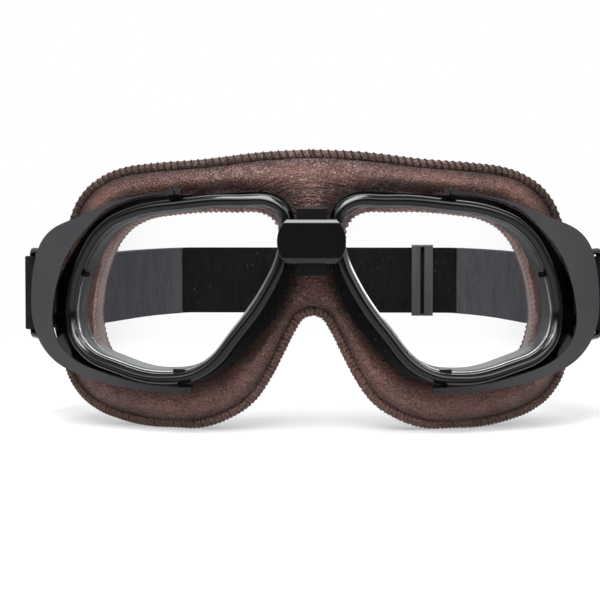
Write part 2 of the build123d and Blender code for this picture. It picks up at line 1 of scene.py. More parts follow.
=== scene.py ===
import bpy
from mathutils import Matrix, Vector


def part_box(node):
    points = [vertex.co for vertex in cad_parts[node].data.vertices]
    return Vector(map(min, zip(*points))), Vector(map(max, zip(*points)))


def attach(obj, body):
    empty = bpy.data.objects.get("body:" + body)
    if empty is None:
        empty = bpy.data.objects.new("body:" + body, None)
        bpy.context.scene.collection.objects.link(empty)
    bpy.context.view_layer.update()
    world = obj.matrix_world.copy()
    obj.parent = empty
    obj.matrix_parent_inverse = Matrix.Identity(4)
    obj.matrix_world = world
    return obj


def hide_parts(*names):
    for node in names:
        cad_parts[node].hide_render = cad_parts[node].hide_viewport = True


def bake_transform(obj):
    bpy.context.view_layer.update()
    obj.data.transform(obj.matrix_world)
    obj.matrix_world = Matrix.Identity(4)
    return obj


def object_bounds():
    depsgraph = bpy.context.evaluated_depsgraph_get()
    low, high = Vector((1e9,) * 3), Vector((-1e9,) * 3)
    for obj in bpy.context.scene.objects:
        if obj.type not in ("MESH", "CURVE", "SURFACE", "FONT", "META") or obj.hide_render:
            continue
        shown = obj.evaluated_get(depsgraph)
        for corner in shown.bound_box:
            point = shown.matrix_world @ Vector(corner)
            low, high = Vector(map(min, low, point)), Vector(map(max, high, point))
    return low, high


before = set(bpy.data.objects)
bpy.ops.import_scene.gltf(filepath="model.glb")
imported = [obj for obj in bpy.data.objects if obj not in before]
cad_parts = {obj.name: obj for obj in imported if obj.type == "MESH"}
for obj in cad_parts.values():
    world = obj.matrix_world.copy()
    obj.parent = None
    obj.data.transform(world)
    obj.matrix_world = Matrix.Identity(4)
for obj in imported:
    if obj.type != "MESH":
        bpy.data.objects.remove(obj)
cad_box = [list(corner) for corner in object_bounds()]

import math

import bmesh
import bpy
from mathutils import Matrix, Vector, kdtree, noise

# The camera stands about 0.7 m in front, a little above and to the right, with a long lens. All that is
# in front of the face lies on one upright cylinder, the wrap, whose front touches the rims.
MM = 0.001
COVER_PROUD = 2.4 * MM
WRAP_FRONT = cad_box[0][1] + COVER_PROUD
CAMERA_DISTANCE = 700 * MM
CAMERA_HEIGHT = 87.7 * MM
CAMERA_SIDE = 14.7 * MM
CAMERA_NEAREST = 10 * MM
CAMERA_LENS = 126.0
CAMERA_DOWN_DEG = 3.38
CAMERA_TURN_DEG = 1.52

camera_data = bpy.data.cameras.new("camera")
camera_data.lens = CAMERA_LENS
camera_data.clip_start = CAMERA_NEAREST
camera = bpy.data.objects.new("camera", camera_data)
camera.location = (CAMERA_SIDE, WRAP_FRONT - CAMERA_DISTANCE, CAMERA_HEIGHT)
camera.rotation_euler = (math.radians(90 - CAMERA_DOWN_DEG), 0, math.radians(CAMERA_TURN_DEG))
bpy.context.collection.objects.link(camera)
bpy.context.scene.camera = camera
bpy.context.scene.view_settings.view_transform = "Standard"


# A finish is one material. Its patterns are worked out with plain arithmetic on wires, each of which is
# the output of a shader node.
class Wire:
    def __init__(self, finish, socket):
        self.finish = finish
        self.socket = socket

    def maths(self, operation, other=0.0):
        return self.finish.node("Math", {"operation": operation}, {0: self, 1: other})

    def __add__(self, other):
        return self.maths("ADD", other)

    def __sub__(self, other):
        return self.maths("SUBTRACT", other)

    def __rsub__(self, other):
        return self.finish.node("Math", {"operation": "SUBTRACT"}, {0: other, 1: self})

    def __mul__(self, other):
        return self.maths("MULTIPLY", other)

    def __pow__(self, other):
        return self.maths("POWER", other)

    def __abs__(self):
        return self.maths("ABSOLUTE")

    __radd__ = __add__
    __rmul__ = __mul__


class Finish:
    def __init__(self, name):
        self.material = bpy.data.materials.new(name)
        self.material.use_nodes = True
        self.tree = self.material.node_tree
        self.shader = self.tree.nodes["Principled BSDF"]

    def fill(self, node, values):
        """Sets the inputs of a node, to wires or to plain values."""
        for key, value in values.items():
            if isinstance(value, Wire):
                self.tree.links.new(value.socket, node.inputs[key])
            else:
                node.inputs[key].default_value = value

    def node(self, kind, settings, values, output=0):
        """Adds any node: its settings first, then its inputs. Returns the wire from one output."""
        made = self.tree.nodes.new("ShaderNode" + kind)
        for key, value in settings.items():
            setattr(made, key, value)
        self.fill(made, values)
        return Wire(self, made.outputs[output])

    def place(self, stretch=(1.0, 1.0, 1.0)):
        where = self.node("TexCoord", {}, {}, "Object")
        return self.node("Mapping", {}, {"Vector": where, "Scale": stretch})

    def along(self, axis, where):
        return self.node("SeparateXYZ", {}, {0: where}, axis)

    def noise(self, where, size, detail=2.0, roughness=0.5):
        values = {"Vector": where, "Scale": 1 / size, "Detail": detail, "Roughness": roughness}
        return self.node("TexNoise", {}, values)

    def between(self, value, low, high):
        """Rises softly from 0 at the low value to 1 at the high one."""
        return self.node("MapRange", {"interpolation_type": "SMOOTHSTEP"}, {0: value, 1: low, 2: high})

    def within(self, value, start, full, fading, gone):
        """Rises from the start until full, and falls again from fading until gone."""
        return self.between(value, start, full) * (1 - self.between(value, fading, gone))

    def blend(self, share, first, second):
        return self.node("Mix", {"data_type": "RGBA"}, {0: share, 6: first, 7: second}, 2)

    def bump(self, height, depth):
        return self.node("Bump", {}, {"Height": height, "Distance": depth, "Strength": 1.0})

    def set(self, **values):
        self.fill(self.shader, {key.replace("_", " "): value for key, value in values.items()})
        return self.material


def paint(red, green, blue):
    """A colour as it shows on a screen, turned into the light it reflects."""
    shares = [c / 255 for c in (red, green, blue)]
    return tuple(((c + 0.055) / 1.055) ** 2.4 if c > 0.04045 else c / 12.92 for c in shares) + (1.0,)


# The goggles stand on a white table that fades into a white background. Soft lamps above and in front
# leave long highlights on the black parts and a soft shadow under the cheeks.
TABLE_SIZE = 6.0
TABLE_FADE = (0.17, 0.42)
TABLE_GLOW_NEAR = 0.38
TABLE_GLOSS_NEAR = 0.60
TABLE_GLOSS_FAR = 0.10
LAMP_TARGET = Vector((0, 0, 50 * MM))
# Each lamp has a name, a place, a width and a power.
LAMPS = [
    ("top", (-0.15, -0.50, 0.85), 0.6, 10.5),
    ("front", (-0.10, -0.80, 0.52), 0.50, 3.4),
    ("strip", (0.00, -0.06, 0.55), 0.16, 0.6),
    ("right", (0.80, -0.25, 0.45), 0.6, 1.3),
    ("back", (0.10, 0.75, 0.80), 0.9, 5.0),
]


def is_ray(finish, kind):
    return finish.node("LightPath", {}, {}, "Is " + kind + " Ray")


def seen_directly(finish):
    """Whether a ray comes from the camera, straight or through a clear lens."""
    return is_ray(finish, "Camera").maths("MAXIMUM", is_ray(finish, "Transmission"))


table_mesh = bmesh.new()
bmesh.ops.create_grid(table_mesh, x_segments=1, y_segments=1, size=TABLE_SIZE)
table_data = bpy.data.meshes.new("table")
table_mesh.to_mesh(table_data)
table_mesh.free()
table = bpy.data.objects.new("table", table_data)
bpy.context.collection.objects.link(table)
white = Finish("table_white")
table_data.materials.append(
    white.set(Base_Color=paint(242, 242, 244), Roughness=0.9, Specular_IOR_Level=0.1))
from_goggles = white.node("VectorMath", {"operation": "LENGTH"}, {0: white.place()}, "Value")
far = white.between(from_goggles, *TABLE_FADE)
mirrored = is_ray(white, "Glossy")
mirrored_light = far * (TABLE_GLOSS_FAR - TABLE_GLOSS_NEAR) + TABLE_GLOSS_NEAR
glow = white.node("Emission", {}, {"Strength": 1 - mirrored * (1 - mirrored_light)})
glow_share = mirrored + seen_directly(white) * (TABLE_GLOW_NEAR + far * (1 - TABLE_GLOW_NEAR))
lit_table = Wire(white, white.shader.outputs[0])
table_look = white.node("MixShader", {}, {0: glow_share, 1: lit_table, 2: glow})
white.fill(white.tree.nodes["Material Output"], {"Surface": table_look})

for lamp_name, lamp_place, lamp_width, lamp_power in LAMPS:
    lamp_data = bpy.data.lights.new(lamp_name, "AREA")
    lamp_data.size = lamp_width
    lamp_data.energy = lamp_power
    lamp = bpy.data.objects.new(lamp_name, lamp_data)
    lamp.location = lamp_place
    lamp.rotation_euler = (LAMP_TARGET - Vector(lamp_place)).to_track_quat("-Z", "Y").to_euler()
    bpy.context.collection.objects.link(lamp)


# The room round the table is white to the camera and dim to the goggles. Their gloss shows a dark room
# in front with one bright window high up, and a paler wall behind.
ROOM_LIGHT = 0.34
ROOM_BEHIND = 0.30
ROOM_IN_FRONT = 0.03
ROOM_SIDES = (-0.80, -0.15)
WINDOW_LIGHT = 2.4
WINDOW_HEIGHTS = (0.22, 0.42, 0.52, 0.72)
WINDOW_SIDES = (-0.55, -0.10)
WHITE = (1.0, 1.0, 1.0, 1.0)


class Room(Finish):
    def __init__(self, tree):
        self.tree = tree


world = bpy.data.worlds.new("room")
world.use_nodes = True
bpy.context.scene.world = world
room = Room(world.node_tree)
towards = room.node("TexCoord", {}, {}, "Generated")
facing = room.along("Y", towards)
window = room.within(room.along("Z", towards), *WINDOW_HEIGHTS)
window = window * (1 - room.between(facing, *WINDOW_SIDES))
walls = room.between(facing, *ROOM_SIDES) * (ROOM_BEHIND - ROOM_IN_FRONT) + ROOM_IN_FRONT
glossy = is_ray(room, "Glossy")
seen = seen_directly(room)
level = glossy * (walls + window * WINDOW_LIGHT) + (1 - glossy) * ROOM_LIGHT
room.fill(room.tree.nodes["Background"], {"Strength": seen + (1 - seen) * level, "Color": WHITE})


# The bridge is a painted metal plate, screwed from behind to a small block that holds the hinge pins of
# both eye frames. The plate is glossy black with bevelled edges and a flat face, and the block is matt.
PLATE_WIDTH = 23.0 * MM
PLATE_HEIGHT = 14.8 * MM
PLATE_FLAT = 16.8 * MM
PLATE_END_FULLNESS = 0.8
PLATE_END_STEPS = 14
PLATE_FACETS = ((1, 0.95 * MM), (-1, 1.75 * MM))
PLATE_EDGE = 0.22 * MM
PLATE_SHARP_DEG = 30
PLATE_SMOOTH_DEG = 12.0
CUT_MERGE = 1e-7


def add_piece(name, data, body, *materials):
    """Puts a finished mesh in the scene, rides it on a body and gives it its finishes."""
    piece = bpy.data.objects.new(name, data)
    bpy.context.collection.objects.link(piece)
    for material in materials:
        data.materials.append(material)
    if body:
        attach(piece, body)
    return piece


def finish_mesh(name, work, smooth_below_deg=35.0):
    """Turns a bmesh into mesh data with soft shading, except over sharp corners."""
    bmesh.ops.recalc_face_normals(work, faces=work.faces)
    for face in work.faces:
        face.smooth = True
    limit = math.radians(smooth_below_deg)
    for edge in work.edges:
        edge.smooth = len(edge.link_faces) == 2 and edge.calc_face_angle(0.0) < limit
    data = bpy.data.meshes.new(name)
    work.to_mesh(data)
    work.free()
    return data


def dress(node, finish):
    """Gives a CAD node its finish."""
    node_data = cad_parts[node].data
    node_data.materials.clear()
    node_data.materials.append(finish)


def cut(work, place, normal, dropped=None):
    """Cuts a mesh along a plane. Where a side is dropped, the hole that it leaves is closed."""
    geom = list(work.verts) + list(work.edges) + list(work.faces)
    bmesh.ops.bisect_plane(work, geom=geom, plane_co=place, plane_no=normal, dist=CUT_MERGE,
                           clear_outer=dropped == "outer", clear_inner=dropped == "inner")
    if dropped:
        bmesh.ops.holes_fill(work, edges=[e for e in work.edges if e.is_boundary], sides=0)


def round_edges(work, edges, width, clamped=False):
    bmesh.ops.bevel(work, geom=edges, offset=width, offset_type="OFFSET", clamp_overlap=clamped,
                    affect="EDGES", segments=2, profile=0.5, material=-1)


def black_enamel(name, level, roughness):
    finish = Finish(name)
    where = finish.place()
    cloud = finish.noise(where, 14 * MM, detail=3.0)
    peel = finish.noise(where, 1.1 * MM)
    return finish.set(
        Base_Color=finish.blend(cloud, paint(*level), paint(*[c + 3 for c in level])),
        Roughness=roughness + 0.04 * cloud,
        Coat_Weight=0.35,
        Coat_Roughness=0.06,
        Normal=finish.bump(peel, 0.008 * MM),
    )


def matt_black():
    finish = Finish("block_black")
    cloud = finish.noise(finish.place(), 2 * MM, detail=3.0)
    return finish.set(
        Base_Color=finish.blend(cloud, paint(3, 3, 3), paint(7, 7, 7)),
        Roughness=0.4,
        Specular_IOR_Level=0.15,
        Normal=finish.bump(cloud, 0.02 * MM),
    )


gloss_black = black_enamel("gloss_black_enamel", (5, 5, 6), 0.11)
dress("bridge_block", matt_black())
low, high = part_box("bridge_cover")
plate_middle = (Vector(low) + Vector(high)) / 2
plate_back = Vector((plate_middle.x, high[1], plate_middle.z))
plate_end = (PLATE_WIDTH - PLATE_FLAT) / 2
plate = bmesh.new()
outline = []
for side in (1, -1):
    for step in range(PLATE_END_STEPS + 1):
        up = side * (step / PLATE_END_STEPS - 0.5)
        bow = plate_end * (1 - (2 * up) ** 2) ** PLATE_END_FULLNESS
        spot = Vector((side * (PLATE_FLAT / 2 + bow), 0, up * PLATE_HEIGHT))
        outline.append(plate.verts.new(spot + plate_back))
grown = bmesh.ops.extrude_face_region(plate, geom=[plate.faces.new(outline)])
front_verts = [v for v in grown["geom"] if isinstance(v, bmesh.types.BMVert)]
bmesh.ops.translate(plate, verts=front_verts, vec=(0, low[1] - high[1], 0))
for up, facet in PLATE_FACETS:
    cut(plate, (0, low[1], plate_middle.z + up * (PLATE_HEIGHT / 2 - facet)), (0, -1, up), "outer")
bmesh.ops.recalc_face_normals(plate, faces=plate.faces)
sharp_above = math.radians(PLATE_SHARP_DEG)
round_edges(plate, [e for e in plate.edges if e.calc_face_angle(0.0) > sharp_above], PLATE_EDGE)
plate_data = finish_mesh("bridge_plate", plate, PLATE_SMOOTH_DEG)
plate_piece = add_piece("bridge_plate", plate_data, "bridge", gloss_black)
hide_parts("bridge_cover")


# Screws and hinge pins are blued steel, turned and left bright at the slot. The screws hold the bridge
# plate from behind and each side plate at its tips, and the pins stand upright in the knuckles.
def turned_steel():
    finish = Finish("blued_steel")
    rings = finish.noise(finish.place(), 0.5 * MM, detail=3.0)
    return finish.set(
        Base_Color=finish.blend(rings, paint(60, 60, 64), paint(95, 95, 100)),
        Metallic=1.0,
        Roughness=0.3 + 0.15 * rings,
        Normal=finish.bump(rings, 0.01 * MM),
    )


steel = turned_steel()
for node_name in ("bridge_cover_screws", "left_hinge_pin", "right_hinge_pin",
                  "left_side_plate_screws", "right_side_plate_screws"):
    dress(node_name, steel)


# Each rim is a round tube of painted metal, bent to the outline of the eye and round the wrap.
# The outlines are shares of the eye frame's width and height, clockwise from the nose.
EYE_WIDTH = 81.3 * MM
EYE_HEIGHT = 64.8 * MM
EYE_FROM_MIDDLE = 6.0 * MM
EYE_ABOVE_TABLE = 16.7 * MM
WRAP_RADIUS = 130 * MM
RIM_THICKNESS = 3.9 * MM
RIM_SHARES = [
    (0.006, 0.875), (0.058, 0.974), (0.236, 1.000), (0.466, 0.981), (0.713, 0.924),
    (0.840, 0.832), (0.934, 0.665), (0.993, 0.437), (0.995, 0.298), (0.945, 0.154),
    (0.761, 0.043), (0.541, 0.000), (0.365, 0.057), (0.215, 0.258), (0.074, 0.517),
    (0.018, 0.690),
]
CURVE_STEPS = 10
MERGE = 0.002 * MM
SIDES = (("left", -1), ("right", 1))


def eye_outline(shares, side):
    """An outline given in shares of the eye frame, as places seen from the front."""
    return [Vector((side * (EYE_FROM_MIDDLE + across * EYE_WIDTH), EYE_ABOVE_TABLE + up * EYE_HEIGHT))
            for across, up in shares]


def wrap_y(x, depth):
    """How far back the wrap lies at a distance from the middle, this depth inside its surface."""
    return WRAP_FRONT + WRAP_RADIUS - math.sqrt((WRAP_RADIUS - depth) ** 2 - x * x)


def wrapped(outline, depth):
    return [(p.x, wrap_y(p.x, depth), p.y) for p in outline]


def resized(points, amount):
    """A closed outline moved outwards, or inwards by a negative amount, square to itself."""
    count = len(points)
    area = sum(points[k - 1].cross(points[k]) for k in range(count))
    turn = -1 if area > 0 else 1
    moved = []
    for k in range(count):
        along = (points[(k + 1) % count] - points[k - 1]).normalized()
        moved.append(points[k] + Vector((-along.y, along.x)) * amount * turn)
    return moved


def drawn(name, lines, settings, closed=True, flat=False):
    """A mesh made from smooth curves: a tube along them, or a sheet inside them where flat."""
    curve = bpy.data.curves.new(name, "CURVE")
    curve.dimensions = "2D" if flat else "3D"
    curve.resolution_u = CURVE_STEPS
    if flat:
        curve.fill_mode = "BOTH"
    for key, value in settings.items():
        setattr(curve, key, value)
    for points in lines:
        line = curve.splines.new("BEZIER")
        line.bezier_points.add(len(points) - 1)
        for knot, point in zip(line.bezier_points, points):
            knot.co = (point[0], point[1], 0) if flat else point
            knot.handle_left_type = knot.handle_right_type = "AUTO"
        line.use_cyclic_u = closed
    holder = bpy.data.objects.new(name, curve)
    bpy.context.collection.objects.link(holder)
    bpy.context.view_layer.update()
    shown = holder.evaluated_get(bpy.context.evaluated_depsgraph_get())
    data = bpy.data.meshes.new_from_object(shown)
    bpy.data.objects.remove(holder)
    bpy.data.curves.remove(curve)
    work = bmesh.new()
    work.from_mesh(data)
    bpy.data.meshes.remove(data)
    if flat:
        upright = Matrix.Rotation(math.radians(90), 3, "X")
        bmesh.ops.rotate(work, verts=work.verts, matrix=upright)
    bmesh.ops.remove_doubles(work, verts=work.verts, dist=MERGE)
    return work


def tube(name, route, thickness, roundness, closed=True, **settings):
    """A round tube of this thickness along a smooth route."""
    settings.update(bevel_depth=thickness / 2, bevel_resolution=roundness)
    return drawn(name, [route], settings, closed)


rim_black = black_enamel("rim_enamel", (4, 4, 5), 0.15)
for side_name, side in SIDES:
    middle = resized(eye_outline(RIM_SHARES, side), -RIM_THICKNESS / 2)
    work = tube("rim", wrapped(middle, RIM_THICKNESS / 2), RIM_THICKNESS, roundness=7)
    rim = add_piece(side_name + "_rim_tube", finish_mesh("rim", work), side_name + "_frame", rim_black)
    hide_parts(side_name + "_rim")


# Each lens is a clear sheet cut to the rim and rolled round the wrap. A thin tube along its bevel,
# inside
# the rim, carries a painted highlight: it glows white low down and on the right nose side. A grey
# rubber gasket holds the lens from behind, and its wall runs back to the mask.
LENS_INSET = 1.3 * MM
LENS_FRONT = 3.9 * MM
LENS_THICKNESS = 2.0 * MM
LENS_EDGE = 0.15 * MM
LENS_VEIL = 0.006
LENS_CURVE_VEIL = 0.2
LENS_CURVE_FACING = (0.12, 0.46)
LENS_GRAZING_VEIL = 0.5
# The bevel line carries a painted highlight: these set where it glows and how strongly.
BEVEL_LINE_INSET = 4.3 * MM
BEVEL_LINE_THICKNESS = 0.5 * MM
BEVEL_GLOW_FADES = (30 * MM, 66 * MM)
BEVEL_NOSE_ACROSS = (4 * MM, 9 * MM, 20 * MM, 30 * MM)
BEVEL_NOSE_HEIGHTS = (34 * MM, 44 * MM, 56 * MM, 62 * MM)
BEVEL_FAINT = 0.10
BEVEL_CLEAR = 0.8
BEVEL_FOOT_GLOW = 0.45
BEVEL_NOSE_GLOW = 0.9
BLACK = (0.0, 0.0, 0.0, 1.0)
ROLL_STEP = 2.0 * MM
GASKET_INSET = 4.5 * MM
GASKET_FRONT = 6.1 * MM
GASKET_REAR = 11.4 * MM
GASKET_WALL = 0.8 * MM
GASKET_RISE = 0.8 * MM


def cut_in_strips(work, start, step, count):
    """Upright cuts at even steps from the start, so that a flat sheet can bend."""
    for k in range(1, count + 1):
        cut(work, (start + k * step, 0, 0), (1, 0, 0))


def rolled(work, depth):
    """Bends a flat sheet, whose front lies at y = 0, round the wrap at this depth."""
    low_x = min(v.co.x for v in work.verts)
    high_x = max(v.co.x for v in work.verts)
    cut_in_strips(work, low_x, ROLL_STEP, int((high_x - low_x) / ROLL_STEP))
    for v in work.verts:
        v.co.y = wrap_y(v.co.x, depth + v.co.y)
    return work


def sheet_of(name, outlines, thickness, edge=0.0):
    """A flat sheet of this thickness with its front at y = 0 and its edges rounded."""
    settings = {"extrude": thickness / 2 - edge, "bevel_depth": edge, "bevel_resolution": 2}
    work = drawn(name, outlines, settings, flat=True)
    bmesh.ops.translate(work, verts=work.verts, vec=(0, thickness / 2, 0))
    return work


def clear_sheet():
    finish = Finish("clear_lens")
    facing = finish.node("LayerWeight", {}, {"Blend": 0.5}, "Facing")
    curved = finish.between(facing, *LENS_CURVE_FACING)
    haze = finish.noise(finish.place(), 22 * MM, detail=1.0)
    veil = LENS_VEIL + LENS_GRAZING_VEIL * facing ** 4 + LENS_CURVE_VEIL * curved
    return finish.set(
        Base_Color=(0.93, 0.95, 0.96, 1.0),
        Metallic=1.0,
        Roughness=0.03 + 0.03 * haze,
        Alpha=veil + LENS_VEIL * haze,
    )


def painted_highlight_edge():
    finish = Finish("lens_edge_painted_highlight")
    where = finish.place()
    streak = finish.noise(where, 16 * MM)
    height = finish.along("Z", where)
    foot = 1 - finish.between(height, *BEVEL_GLOW_FADES)
    nose = finish.within(finish.along("X", where), *BEVEL_NOSE_ACROSS)
    nose = nose * finish.within(height, *BEVEL_NOSE_HEIGHTS)
    # Painted highlight: the bevel glows white at its foot and on the right nose side, and is more
    # opaque there.
    painted_glow = streak * foot * BEVEL_FOOT_GLOW + nose * BEVEL_NOSE_GLOW
    return finish.set(
        Base_Color=finish.blend(streak, paint(150, 155, 158), paint(250, 252, 255)),
        Metallic=1.0,
        Roughness=0.12 + 0.1 * streak,
        Emission_Strength=1.0,
        Emission_Color=finish.blend(painted_glow, BLACK, WHITE),
        Alpha=BEVEL_FAINT + BEVEL_CLEAR * streak * foot + BEVEL_CLEAR * nose,
    )


def grey_rubber():
    finish = Finish("gasket_rubber")
    dust = finish.noise(finish.place(), 6 * MM, detail=4.0)
    return finish.set(
        Base_Color=finish.blend(dust, paint(84, 88, 90), paint(112, 117, 119)),
        Roughness=0.35 + 0.15 * dust,
        Normal=finish.bump(dust, 0.03 * MM),
    )


def gasket_ring(outline):
    """A closed band behind the lens, square to the wrap and a little higher at its rear foot."""
    smooth = drawn("gasket", [[(p.x, 0, p.y) for p in resized(outline, -GASKET_INSET)]], {})
    inner = [Vector((v.co.x, v.co.z)) for v in smooth.verts]
    smooth.free()
    outer = resized(inner, GASKET_WALL)
    slope = 1 - (GASKET_REAR - GASKET_FRONT) / WRAP_RADIUS
    work = bmesh.new()
    rings = []
    for points, slid, depth in ((outer, 1.0, GASKET_FRONT), (inner, 1.0, GASKET_FRONT),
                                (inner, slope, GASKET_REAR), (outer, slope, GASKET_REAR)):
        ring = []
        for p in points:
            low_share = max(0.0, 1 - (p.y - EYE_ABOVE_TABLE) / EYE_HEIGHT)
            up = GASKET_RISE * low_share ** 2 if slid < 1 else 0.0
            ring.append(work.verts.new((p.x * slid, wrap_y(p.x * slid, depth), p.y + up)))
        rings.append(ring)
    for here, after in zip(rings, rings[1:] + rings[:1]):
        for k in range(len(here)):
            n = (k + 1) % len(here)
            work.faces.new((here[k], here[n], after[n], after[k]))
    return work


clear = clear_sheet()
bevel_highlight_finish = painted_highlight_edge()
rubber = grey_rubber()
for side_name, side in SIDES:
    frame_name = side_name + "_frame"
    outline = eye_outline(RIM_SHARES, side)
    sheet = sheet_of("lens", [resized(outline, -LENS_INSET)], LENS_THICKNESS, LENS_EDGE)
    lens_data = finish_mesh("lens", rolled(sheet, LENS_FRONT))
    lens = add_piece(side_name + "_lens_sheet", lens_data, frame_name, clear)
    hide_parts(side_name + "_lens")
    route = wrapped(resized(outline, -BEVEL_LINE_INSET), LENS_FRONT - BEVEL_LINE_THICKNESS / 2)
    work = tube("lens_bevel_highlight", route, BEVEL_LINE_THICKNESS, roundness=2)
    bevel_data = finish_mesh("lens_bevel_highlight", work)
    bevel = add_piece(side_name + "_lens_bevel_highlight", bevel_data, frame_name, bevel_highlight_finish)
    gasket_data = finish_mesh("gasket", gasket_ring(outline))
    gasket = add_piece(side_name + "_gasket_wall", gasket_data, frame_name, rubber)
    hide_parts(side_name + "_lens_gasket")


# The rear frame is moulded in black plastic behind each rim. It carries the lens seat, the vent holes
# and the hinge knuckle. The small clips on the lens are the same plastic.
FRAME_EDGE = 0.4 * MM
FLAT_WITHIN_DEG = 0.5
CORNER_DEG = 40
SOFT_CORNER_DEG = 18.0


def softened(side_name, part, finish, edge):
    """A copy of a CAD node of an eye frame with its corners rounded, in place of the node."""
    node = side_name + part
    work = bmesh.new()
    work.from_mesh(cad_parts[node].data)
    bmesh.ops.remove_doubles(work, verts=work.verts, dist=MERGE)
    flat_within = math.radians(FLAT_WITHIN_DEG)
    bmesh.ops.dissolve_limit(work, angle_limit=flat_within, verts=work.verts, edges=work.edges)
    corner_above = math.radians(CORNER_DEG)
    corners = [e for e in work.edges if e.is_manifold and e.calc_face_angle(0.0) > corner_above
               and e.calc_length() > 2 * edge]
    round_edges(work, corners, edge, clamped=True)
    data = finish_mesh(node, work, SOFT_CORNER_DEG)
    piece = add_piece(node + "_finished", data, side_name + "_frame", finish)
    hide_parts(node)


def moulded_black():
    finish = Finish("moulded_black")
    where = finish.place()
    grain = finish.noise(where, 0.45 * MM)
    cloud = finish.noise(where, 18 * MM)
    return finish.set(
        Base_Color=finish.blend(cloud, paint(2, 2, 3), paint(6, 6, 7)),
        Roughness=0.09 + 0.07 * cloud,
        Normal=finish.bump(grain, 0.012 * MM),
    )


plastic = moulded_black()
for side_name, side in SIDES:
    softened(side_name, "_rear_frame", plastic, FRAME_EDGE)
    dress(side_name + "_lens_clips", plastic)


# Each side plate is cut from sheet metal, bent round the wrap outside the rim and painted satin dark
# grey. A tab at each tip is screwed to the rear frame, and two lugs carry the strap ring.
SIDE_PLATE_EDGE = 0.28 * MM
SIDE_PLATE_TIP_SHADE = (48 * MM, 84 * MM)


def satin_grey():
    finish = Finish("satin_dark_grey")
    where = finish.place()
    grain = finish.noise(where, 0.35 * MM, detail=3.0)
    cloud = finish.noise(where, 25 * MM)
    # Painted shade: nearer the middle than 84 mm the colour darkens, fully so within 48 mm, at the
    # prong tips.
    outside = finish.between(abs(finish.along("X", where)), *SIDE_PLATE_TIP_SHADE)
    tone = finish.blend(cloud, paint(48, 47, 50), paint(56, 55, 58))
    return finish.set(
        Base_Color=finish.blend(outside, paint(24, 24, 26), tone),
        Roughness=0.42 + 0.1 * cloud,
        Normal=finish.bump(grain, 0.012 * MM),
    )


satin = satin_grey()
for side_name, side in SIDES:
    softened(side_name, "_side_plate", satin, SIDE_PLATE_EDGE)


# The strap ring is a loop of glossy black wire. It swings in the two lugs of the side plate, and the
# webbing goes round its outer bar.
for side_name, side in SIDES:
    dress(side_name + "_strap_ring", gloss_black)


# The mask's front is one piece of grained brown leather over foam. It swells between the binding and
# the eye frames and sinks back beside them, where painted shade darkens it, and creases fan out from
# the bridge where it bends.
PAD_WIDTH = 185.0 * MM
PAD_HEIGHT = 97.3 * MM
PAD_STAND_FLAT = 0.5 * MM
PAD_SHARES = [
    (0.000, 1.000), (0.177, 0.992), (0.405, 0.967), (0.616, 0.951), (0.724, 0.936),
    (0.822, 0.899), (0.897, 0.840), (0.947, 0.755), (0.982, 0.622), (1.000, 0.457),
    (0.999, 0.313), (0.977, 0.205), (0.930, 0.122), (0.849, 0.060), (0.746, 0.026),
    (0.627, 0.007), (0.519, 0.000), (0.411, 0.012), (0.303, 0.050), (0.218, 0.107),
    (0.154, 0.192), (0.104, 0.283), (0.061, 0.365), (0.032, 0.404), (0.000, 0.416),
]
EYE_OPENING_SHARES = [
    (0.059, 0.823), (0.105, 0.894), (0.258, 0.915), (0.517, 0.898), (0.664, 0.860),
    (0.763, 0.776), (0.830, 0.630), (0.871, 0.437), (0.872, 0.252), (0.812, 0.094),
    (0.664, 0.045), (0.486, 0.032), (0.381, 0.076), (0.283, 0.193), (0.172, 0.387),
    (0.086, 0.552), (0.057, 0.699),
]
REAR_FRAME_SHARES = [
    (0.000, 0.888), (0.054, 0.986), (0.236, 1.012), (0.467, 0.996), (0.720, 0.952),
    (0.861, 0.849), (0.966, 0.690), (1.052, 0.483), (1.070, 0.313), (1.022, 0.140),
    (0.824, 0.043), (0.640, 0.001), (0.455, 0.003), (0.340, 0.048), (0.193, 0.199),
    (0.064, 0.420), (0.010, 0.622), (0.000, 0.760),
]
COVER_INSET = 3.0 * MM
COVER_FRONT = 12.6 * MM
COVER_THICKNESS = 6.6 * MM
COVER_SQUARE = 0.9 * MM
COVER_SMOOTHING = 4
CROWN = 4.4 * MM
CROWN_RUN = 4.2 * MM
CROWN_PROUD = 0.15
SHADE_RUN = 3.6 * MM
BINDING_SHADE = 0.9
BINDING_SHADE_SHORTER = 1.6
CREASE_MIDDLE = Vector((0, 60 * MM))
CREASE_DEPTH = 0.9 * MM
CREASE_REACH = 24 * MM
CREASE_FADE = 26 * MM
# Each fan of creases has a number of creases to the radian, a length, a seed, a keenness and a share.
CREASE_FANS = ((5.5, 26 * MM, 4.7, 5, 0.8), (13.0, 14 * MM, 9.2, 6, 0.45))
COVER_LUMP_HEIGHT = 0.35 * MM
COVER_LUMP_SPACING = 9 * MM
COVER_LUMP_SEED = 1.3 * MM
CALM_EDGE = 2 * MM
OUTLINE_STEP = 0.8 * MM
PAD_SMOOTH_DEG = 60.0
LEATHER_WARP = 0.6 * MM
LEATHER_RELIEF = 0.32 * MM
# Painted highlight on the tops of the grain, and painted shade in its pores and folds.
GRAIN_HIGHLIGHT_TONE = paint(156, 118, 106)
CREVICE_SHADE_TONE = paint(34, 21, 19)
# Painted shade beside the eye frames and the binding.
FRAME_SHADE_TONE = paint(24, 16, 15)

half = [Vector((u * PAD_WIDTH / 2, v * PAD_HEIGHT - PAD_STAND_FLAT)) for u, v in PAD_SHARES]
pad_outline = half + [Vector((-p.x, p.y)) for p in reversed(half[1:-1])]
eye_openings = [eye_outline(EYE_OPENING_SHARES, side) for _, side in SIDES]
frame_outlines = [eye_outline(REAR_FRAME_SHARES, side) for _, side in SIDES]


